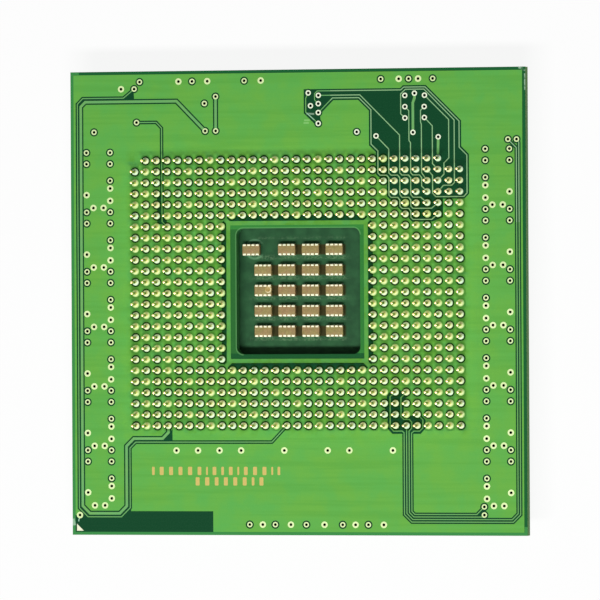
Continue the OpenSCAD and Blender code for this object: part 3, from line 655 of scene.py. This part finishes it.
def drop_finish():
    """A thin drop of clear resin: the ceramic's tan in the middle, and a painted highlight, pale cream, at
    its raised rim, where the tone is 1."""
    finish = Finish("glue", Specular_IOR_Level=0.4)
    mottle = finish.noise(6.0, 3.0, roughness=0.7).step(0.35, 0.65)
    middle = finish.mix(mottle, paint(158, 132, 66), paint(196, 168, 96))
    tone = finish.mix(finish.own_tone(), middle, paint(244, 228, 178))
    finish.set(Base_Color=tone, Roughness=0.2 + 0.15 * mottle)
    return finish.bump(mottle, 0.006).material


def lid_finish():
    """Nickel plate: satin, with very fine random grain, faint brushing and a few thin rub marks."""
    finish = Finish("nickel_plate", Metallic=1.0)
    grain = finish.noise(22.0, 3.0)
    brushed = finish.noise(7.0, 2.0, (0.05, 1, 1))
    rubs = finish.noise(1.1, 2.0, (0.12, 1, 1)).step(0.6, 0.75)
    tone = finish.mix(0.5 * rubs + 0.3 * brushed, paint(202, 200, 194), paint(184, 182, 176))
    finish.set(Base_Color=tone, Roughness=0.26 + 0.12 * brushed + 0.08 * rubs)
    return finish.bump(grain + 0.6 * brushed, 0.002).material


def moulded(name, first, second, rough, depth=0.01):
    """A dull moulded, printed or cured surface: fine grain between two near tones."""
    finish = Finish(name, Specular_IOR_Level=0.35)
    grain = finish.noise(9.0, 3.0, roughness=0.6)
    finish.set(Base_Color=finish.mix(grain, first, second), Roughness=rough + 0.15 * grain)
    return finish.bump(grain, depth).material


pour_green = mask_over_copper("masked_copper", paint(90, 166, 66), paint(96, 179, 82), paint(109, 180, 72))
frame_green = mask_over_copper(
    "masked_copper_frame", paint(86, 154, 66), paint(92, 168, 80), paint(100, 166, 68),
)
trace_green = mask_over_copper(
    "masked_copper_lines", paint(108, 172, 98), paint(112, 180, 110), paint(120, 182, 100),
    pale=paint(164, 204, 160),
)
board_green = board_finish()
pin_gold = bright_metal("gold_pins", paint(250, 230, 168), paint(244, 218, 148), 0.7, 1.0, 0.15)
foot_tin = foot_finish()
ball_tin = bright_metal("solder_balls", paint(232, 232, 228), paint(216, 216, 210), 0.6, 0.85, 0.3)
ring_tin = via_finish()
comb_tin = bright_metal("terminal_tin", paint(252, 246, 214), paint(240, 244, 210), 0.25, 0.1, 0.4)
bare_tin = bright_metal("terminal_metal", paint(240, 240, 236), paint(226, 224, 216), 0.9, 0.75, 0.3)
cap_clay = ceramic_finish("ceramic", paint(162, 152, 92), paint(172, 142, 100))
edge_clay = ceramic_finish("ceramic_hidden", paint(150, 122, 92), paint(138, 110, 84))
carrier_green = carrier_finish()
nickel = lid_finish()
black_resin = moulded("chip_resin", paint(30, 30, 32), paint(46, 46, 48), 0.55)
white_ink = moulded("white_print", paint(244, 246, 210), paint(252, 252, 226), 0.6, 0.004)
gold_ink = moulded("gold_print", paint(206, 180, 92), paint(216, 194, 110), 0.5, 0.004)
glue = drop_finish()

plain_finishes = {
    "interposer_board": board_green,
    "ground_plane": pour_green,
    "guard_ring": frame_green,
    "signal_traces": trace_green,
    "via_rings": ring_tin,
    "pin_one_mark": white_ink,
    "package_substrate": carrier_green,
    "die": moulded("silicon", paint(74, 76, 86), paint(84, 86, 96), 0.15, 0.001),
    "die_underfill": moulded("resin", paint(28, 28, 30), paint(38, 38, 40), 0.4),
    "thermal_interface": moulded("thermal_paste", paint(140, 142, 146), paint(152, 154, 158), 0.6),
    "lid_sealant": moulded("sealant", paint(20, 20, 20), paint(32, 32, 32), 0.5),
}
for node, finish in plain_finishes.items():
    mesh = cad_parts[node].data
    mesh.materials.clear()
    mesh.materials.append(finish)


# Pins

SIDES_OF_VOID = ("north", "south", "west", "east")
col, row = np.meshgrid(np.arange(PIN_COLS), np.arange(PIN_ROWS))
in_void = (abs(col - MID_COL) < VOID / 2) & (abs(row - MID_ROW) < VOID / 2)
left_empty = (row == 0) & ((col == 0) | (col >= PIN_COLS - 2))
stands = ~in_void & ~left_empty
pin_x, pin_y = (col - MID_COL) * PITCH, FIELD_Y - (row - MID_ROW) * PITCH
pin_places = np.stack([pin_x, pin_y, np.full(col.shape, Z_BOARD)], -1)[stands]
pin_h = Z_TIP - Z_BOARD
pin_profile = [
    (0, 0), (PIN_R, 0), (PIN_R, pin_h - 0.1), (0.85 * PIN_R, pin_h - 0.03), (0.45 * PIN_R, pin_h), (0, pin_h),
]
solid_of(
    "contact_pins", turned_on(pin_places, pin_profile, PIN_SIDES), pin_gold,
    [f"pin_row_{number:02d}" for number in range(1, PIN_ROWS + 1)],
)

# Solder feet

# A joined foot's tone at each ring of its profile, from its base at the pin over the rim and up to the pin
JOINED_TONES = [2.0, 3.0, 3.0, 2.75, 2.25, 2.05, 2.0]


def foot_profile(radius):
    """A solder foot from its base to its rim and inwards again: a low wall, a gentle slope and a short hollow
    rise against the pin."""
    rise = radius - PIN_R
    return [
        (PIN_R - 0.01, 0), (radius, 0), (radius, 0.05), (PIN_R + 0.8 * rise, 0.09),
        (PIN_R + 0.36 * rise, 0.105), (PIN_R + 0.08 * rise, 0.13), (PIN_R - 0.01, 0.18),
    ]


chequer = (col + row + (row > MID_ROW)) % 2 == 0
beside_void = abs(row - MID_ROW) < VOID / 2
outer = (col <= 1) | (col >= np.where(row > MID_ROW, PIN_COLS - 4, PIN_COLS - 2))
every_sixth = abs(col - MID_COL) % 6 == np.array([2, 4, 0])[np.minimum(row, PIN_ROWS - 1 - row) % 3]
in_bare_corner = (col - MID_COL > BARE_FROM) & (MID_ROW - row > BARE_FROM)
joined = (np.where(beside_void | outer, chequer, every_sixth) & ~in_bare_corner)[stands]
free_tone = np.repeat(np.random.default_rng(7).random((~joined).sum())[:, None], len(JOINED_TONES), 1)
joined_tone = np.tile(JOINED_TONES, (joined.sum(), 1))
feet = [
    turned_on(pin_places[~joined], foot_profile(FOOT_R), FOOT_SIDES),
    turned_on(pin_places[joined], foot_profile(JOINED_FOOT_R), FOOT_SIDES),
]
solid_of(
    "pin_solder", np.concatenate(feet), foot_tin, [f"pin_solder_{side}" for side in SIDES_OF_VOID],
    tube=True, crease=50, tone=np.concatenate([free_tone, joined_tone]),
)

# Capacitors in the window

CAPS = CAP_COLS * CAP_ROWS
cap_row, cap_col = np.divmod(np.arange(CAPS), CAP_COLS)
first_cap = (cap_row == 0) & (cap_col == 0)
cap_x = CAP_AT[0] + (cap_col - (CAP_COLS - 1) / 2 - 0.5 * first_cap) * CAP_PITCH[0]
cap_y = CAP_AT[1] + ((CAP_ROWS - 1) / 2 - cap_row) * CAP_PITCH[1]
cap_places = np.stack([cap_x, cap_y, np.full(CAPS, Z_FLOOR)], -1)
solid_of(
    "window_capacitors", stacked(cap_places, CAP_SIZE, CAP_CORNER, eased(CAP_LIFT, CAP_TOP, CAP_EASE)),
    cap_clay, [f"cavity_capacitors_row_{number}" for number in range(1, CAP_ROWS + 1)],
    tone=np.random.default_rng(5).random(CAPS),
)
slots = (np.arange(TERMINALS_A_SIDE) - (TERMINALS_A_SIDE - 1) / 2) * TERMINAL_PITCH
terminal_places = np.concatenate([
    cap_places[:, None, :] + np.stack([slots, np.full_like(slots, side_y), np.zeros_like(slots)], -1)
    for side_y in (CAP_SIZE[1] / 2, -CAP_SIZE[1] / 2)
]).reshape(-1, 3)
terminal_turns = np.repeat([0.0, 180.0], CAPS * TERMINALS_A_SIDE)
fold_path = [
    (0.03, 0), (0.03, 0.4), (0.03, 0.78), (0.018, 0.818), (-0.015, 0.83), (-0.1, 0.83), (-0.16, 0.825),
]
solid_of(
    "window_terminals",
    set_round(strip_along(fold_path, TERMINAL_W, TERMINAL_T), terminal_places, terminal_turns),
    comb_tin, ["cavity_capacitor_terminals"],
)
fillet = [(0.04, 0), (0.09, 0), (0.087, 0.02), (0.07, 0.05), (0.056, 0.1), (0.04, 0.18)]
solid_of(
    "window_fillets", set_round(wedge(fillet, TERMINAL_W), terminal_places, terminal_turns),
    bare_tin,
)
drop_at = cap_places[DROP_ON] + [*DROP_OFF, CAP_TOP]
drop_profile = [(0, 0), (0.38, 0), (0.375, 0.016), (0.34, 0.026), (0.29, 0.02), (0.24, 0.012), (0, 0.01)]
drop_angle = np.arange(DROP_SIDES) * 2 * math.pi / DROP_SIDES
# Painted highlight: the drop's rim is pale cream over the side that faces the light.
drop_highlight = np.clip(0.55 + 0.9 * np.cos(drop_angle - DROP_HIGHLIGHT_AT), 0, 1)
drop_rim_highlight = np.outer([0, 1, 1, 1, 0.6, 0, 0], drop_highlight)
solid_of("glue_dot", turned_on([drop_at], drop_profile, DROP_SIDES), glue, tone=drop_rim_highlight)

# Ball joints

ball_half = (BALL_COLS - 1) / 2
ball_x, ball_y = np.meshgrid(np.arange(BALL_COLS) - ball_half, np.arange(BALL_COLS) - ball_half)
held = np.maximum(abs(ball_x), abs(ball_y)) > BALL_VOID / 2
ball_places = np.stack(
    [ball_x * BALL_PITCH, FIELD_Y + ball_y * BALL_PITCH, np.full(ball_x.shape, Z_FLOOR)], -1
)[held]
ball_h = Z_UNDER - Z_FLOOR
ball_profile = [
    (0, 0), (0.74 * BALL_R, 0), (0.93 * BALL_R, 0.2 * ball_h), (BALL_R, 0.5 * ball_h),
    (0.93 * BALL_R, 0.8 * ball_h), (0.74 * BALL_R, ball_h), (0, ball_h),
]
solid_of(
    "ball_joints", turned_on(ball_places, ball_profile, BALL_SIDES), ball_tin,
    [f"solder_balls_{side}" for side in SIDES_OF_VOID],
)

# Heat spreader

lid_w = lid_high[0] - lid_low[0]
lid_h = lid_high[2]
lid_levels = [
    (None, 0), (STEP_IN + 0.3, 0), (STEP_IN + 0.12, 0.03), (STEP_IN + 0.03, 0.12), (STEP_IN, 0.3),
    (STEP_IN, STEP_Z - 0.12), (STEP_IN - 0.04, STEP_Z - 0.03), (STEP_IN - 0.14, STEP_Z),
    (0.15, STEP_Z), (0.04, STEP_Z + 0.04), (0, STEP_Z + 0.15), (0, lid_h - 0.1), (0.1, lid_h),
    (POCKET_IN, lid_h), (POCKET_IN, POCKET_Z), (None, POCKET_Z),
]
solid_of(
    "lid", stacked([(0, FIELD_Y, 0)], (lid_w, lid_w), LID_CORNER, lid_levels), nickel,
    ["heat_spreader"], crease=60,
)

# Capacitors on the hidden side

BOTH_WAYS = (-1, 1)
group = np.arange(STRIP_GROUPS)
edge_y = HALF_L - STRIP_FIRST - group * STRIP_PITCH - EDGE_CAP_DROP
block_size = (EDGE_CAP[0] - 2 * EDGE_BLOCK_IN[0], EDGE_CAP[1] - 2 * EDGE_BLOCK_IN[1])
block_levels = eased(EDGE_BLOCK_IN[2] - EDGE_CAP[2], -EDGE_BLOCK_IN[2], 0.06)
for way, name in zip(BOTH_WAYS, ("left", "right")):
    places = np.stack([np.full(STRIP_GROUPS, way * EDGE_CAP_X), edge_y, np.full(STRIP_GROUPS, Z_UNDER)], -1)
    solid_of(
        f"edge_blocks_{name}", stacked(places, block_size, 0.08, block_levels), edge_clay,
        [f"edge_capacitors_{name}"],
    )


def at_both_ends(off):
    """The places at the given distance left and right of the middle of each capacitor in both side strips."""
    return np.array([
        (side * EDGE_CAP_X + end * off, y, Z_UNDER) for side in BOTH_WAYS for end in BOTH_WAYS for y in edge_y
    ])


end_places = at_both_ends((EDGE_CAP[0] - EDGE_TERMINAL) / 2)
solid_of(
    "edge_ends", stacked(end_places, (EDGE_TERMINAL, EDGE_CAP[1]), 0.1, eased(-EDGE_CAP[2], 0, 0.07)),
    bare_tin, ["edge_capacitor_terminals"],
)
end_fillet = [(0, 0), (0.3, 0), (0.28, -0.03), (0.13, -0.12), (0.05, -0.3), (0, -0.55)]
fillet_turns = np.tile(np.repeat([90.0, -90.0], STRIP_GROUPS), 2)
solid_of(
    "edge_fillets",
    set_round(wedge(end_fillet, 0.9 * EDGE_CAP[1]), at_both_ends(EDGE_CAP[0] / 2), fillet_turns),
    bare_tin, crease=50,
)

# Chips on the hidden side


def chip(name, lead_count, node):
    """A moulded chip: a block whose sides lean in from a middle line, two rows of bent leads and a dot over
    the first."""
    low, high = reach(node)
    size, middle = high - low, (low + high) / 2
    levels = [
        (None, low[2]), (CHIP_LEAN, low[2]), (0.75 * CHIP_LEAN, low[2] + CHIP_EASE),
        (0, middle[2] - CHIP_EASE), (0, middle[2] + CHIP_EASE),
        (0.75 * CHIP_LEAN, high[2] - CHIP_EASE), (CHIP_LEAN, high[2]), (None, high[2]),
    ]
    body = stacked([(middle[0], middle[1], 0)], size[:2], CHIP_CORNER, levels)
    solid_of(f"{name}_body", body, black_resin, [node])
    drop = middle[2] - Z_UNDER
    path = [
        (-0.05, drop), (0.2, drop), (0.3, drop + 0.02), (0.36, drop + 0.12), (0.4, 0.5 * drop), (0.46, -0.2),
        (0.54, -0.1), (0.64, -LEAD_T / 2), (0.8, -LEAD_T / 2), (1.0, -LEAD_T / 2),
    ]
    along = (np.arange(lead_count) - (lead_count - 1) / 2) * LEAD_PITCH + middle[1]
    places = np.array([(middle[0] + way * size[0] / 2, y, Z_UNDER) for way in (1, -1) for y in along])
    leads = set_round(strip_along(path, LEAD_W, LEAD_T), places, np.repeat([-90.0, 90.0], lead_count))
    solid_of(f"{name}_leads_bent", leads, bare_tin, [f"{node}_leads"])
    dot_at = (middle[0] + size[0] / 2 - DOT_IN, high[1] - DOT_IN, low[2])
    dot = turned_on([dot_at], [(0, DOT_T), (DOT_R, DOT_T), (DOT_R, 0), (0, 0)], 20)
    solid_of(f"{name}_dot", dot, white_ink)


chip("memory", 4, "memory_chip")
chip("sensor", 7, "sensor_chip")

# Printed bars

bar_levels = [(None, 0), (0, 0), (0, BAR_T), (None, BAR_T)]
for number, (y, x, widths) in enumerate(BAR_ROWS, 1):
    starts = x + np.concatenate([[0], np.cumsum(np.array(widths) + BAR_GAP)[:-1]])
    bars = [
        stacked([(start + width / 2, y, Z_COPPER)], (BAR_FILL * width, BAR_L), BAR_CORNER, bar_levels)
        for start, width in zip(starts, widths)
    ]
    solid_of(f"printed_bars_{number}", np.concatenate(bars), gold_ink)


# Floor and backdrop

WHITE = (1.0, 1.0, 1.0, 1.0)
FLOOR_HALF, FLOOR_DROP = 1500.0, 0.01
FLOOR_GLOW = 0.91
WORLD_FILL = 0.05


def floor_finish():
    """White floor: bright to the camera and to glossy rays, plain white to the rest, clear from below. It
    keeps a share of the object's shadow."""
    finish = Finish("floor", Base_Color=(0.9, 0.9, 0.9, 1.0), Roughness=0.9, Specular_IOR_Level=0.0)
    plain = Value(finish, finish.shader.outputs[0])
    glow = finish.node("ShaderNodeEmission", None, {"Color": WHITE, "Strength": 1.0})
    lit = finish.node("ShaderNodeMixShader", None, {0: FLOOR_GLOW * finish.seen(), 1: plain, 2: glow})
    back = finish.node("ShaderNodeNewGeometry", out="Backfacing")
    clear = finish.node("ShaderNodeBsdfTransparent")
    shown = finish.node("ShaderNodeMixShader", None, {0: back, 1: lit, 2: clear})
    finish.feed(finish.tree.nodes["Material Output"].inputs["Surface"], shown)
    return finish.material


floor_mesh = bpy.data.meshes.new("floor")
corners = np.array([(-1, -1), (1, -1), (1, 1), (-1, 1)]) * FLOOR_HALF
floor_mesh.from_pydata((np.insert(corners, 2, -FLOOR_DROP, axis=1) * MM).tolist(), [], [(0, 1, 2, 3)])
floor_mesh.materials.append(floor_finish())
floor = bpy.data.objects.new("floor", floor_mesh)
bpy.context.scene.collection.objects.link(floor)
floor.visible_shadow = False

world = bpy.data.worlds.new("studio")
bpy.context.scene.world = world
world.use_nodes = True
studio = Nodes(world.node_tree)
fill = studio.node("ShaderNodeBackground", None, {"Color": WHITE, "Strength": WORLD_FILL})
backdrop = studio.node("ShaderNodeBackground", None, {"Color": WHITE, "Strength": 1.0})
shown = studio.node("ShaderNodeMixShader", None, {0: studio.seen(), 1: fill, 2: backdrop})
studio.feed(world.node_tree.nodes["World Output"].inputs["Surface"], shown)


# Light and camera

IMAGE_PX = 600
PX_PER_MM = 8.735
LENS, SENSOR = 400.0, 36.0
TILT, ROLL = math.radians(12.5), math.radians(0.31)
AIM_AT = (0.32, 0.27)


def lamp(name, offset, size, watts):
    """A soft rectangular lamp, its long side along x, aimed at the middle of the pin side."""
    light = bpy.data.lights.new(name, "AREA")
    light.shape, light.energy = "RECTANGLE", watts
    light.size, light.size_y = size[0] * MM, size[1] * MM
    made = bpy.data.objects.new(name, light)
    aim = Vector((0, 0, Z_BOARD)) * MM
    made.location = aim + Vector(offset) * MM
    made.rotation_euler = (aim - made.location).to_track_quat("-Z", "Y").to_euler()
    bpy.context.scene.collection.objects.link(made)


lamp("key", (0, -252, 540), (440, 80), 3.75)
lamp("under_fill", (0, -150, -600), (600, 600), 2.0)

aim = Vector((*AIM_AT, Z_BOARD)) * MM
back = Vector((math.sin(TILT), 0, math.cos(TILT)))
up = Vector((math.sin(ROLL), math.cos(ROLL), 0))
right = up.cross(back).normalized()
up = back.cross(right)
camera_data = bpy.data.cameras.new("camera")
camera_data.lens, camera_data.sensor_width = LENS, SENSOR
camera_data.clip_start, camera_data.clip_end = 0.01, 10.0
camera = bpy.data.objects.new("camera", camera_data)
distance = IMAGE_PX / PX_PER_MM * LENS / SENSOR * MM
turn = Matrix((right, up, back)).transposed().to_4x4()
camera.matrix_world = Matrix.Translation(aim + back * distance) @ turn
bpy.context.scene.collection.objects.link(camera)
bpy.context.scene.camera = camera
bpy.context.scene.view_settings.view_transform = "Standard"
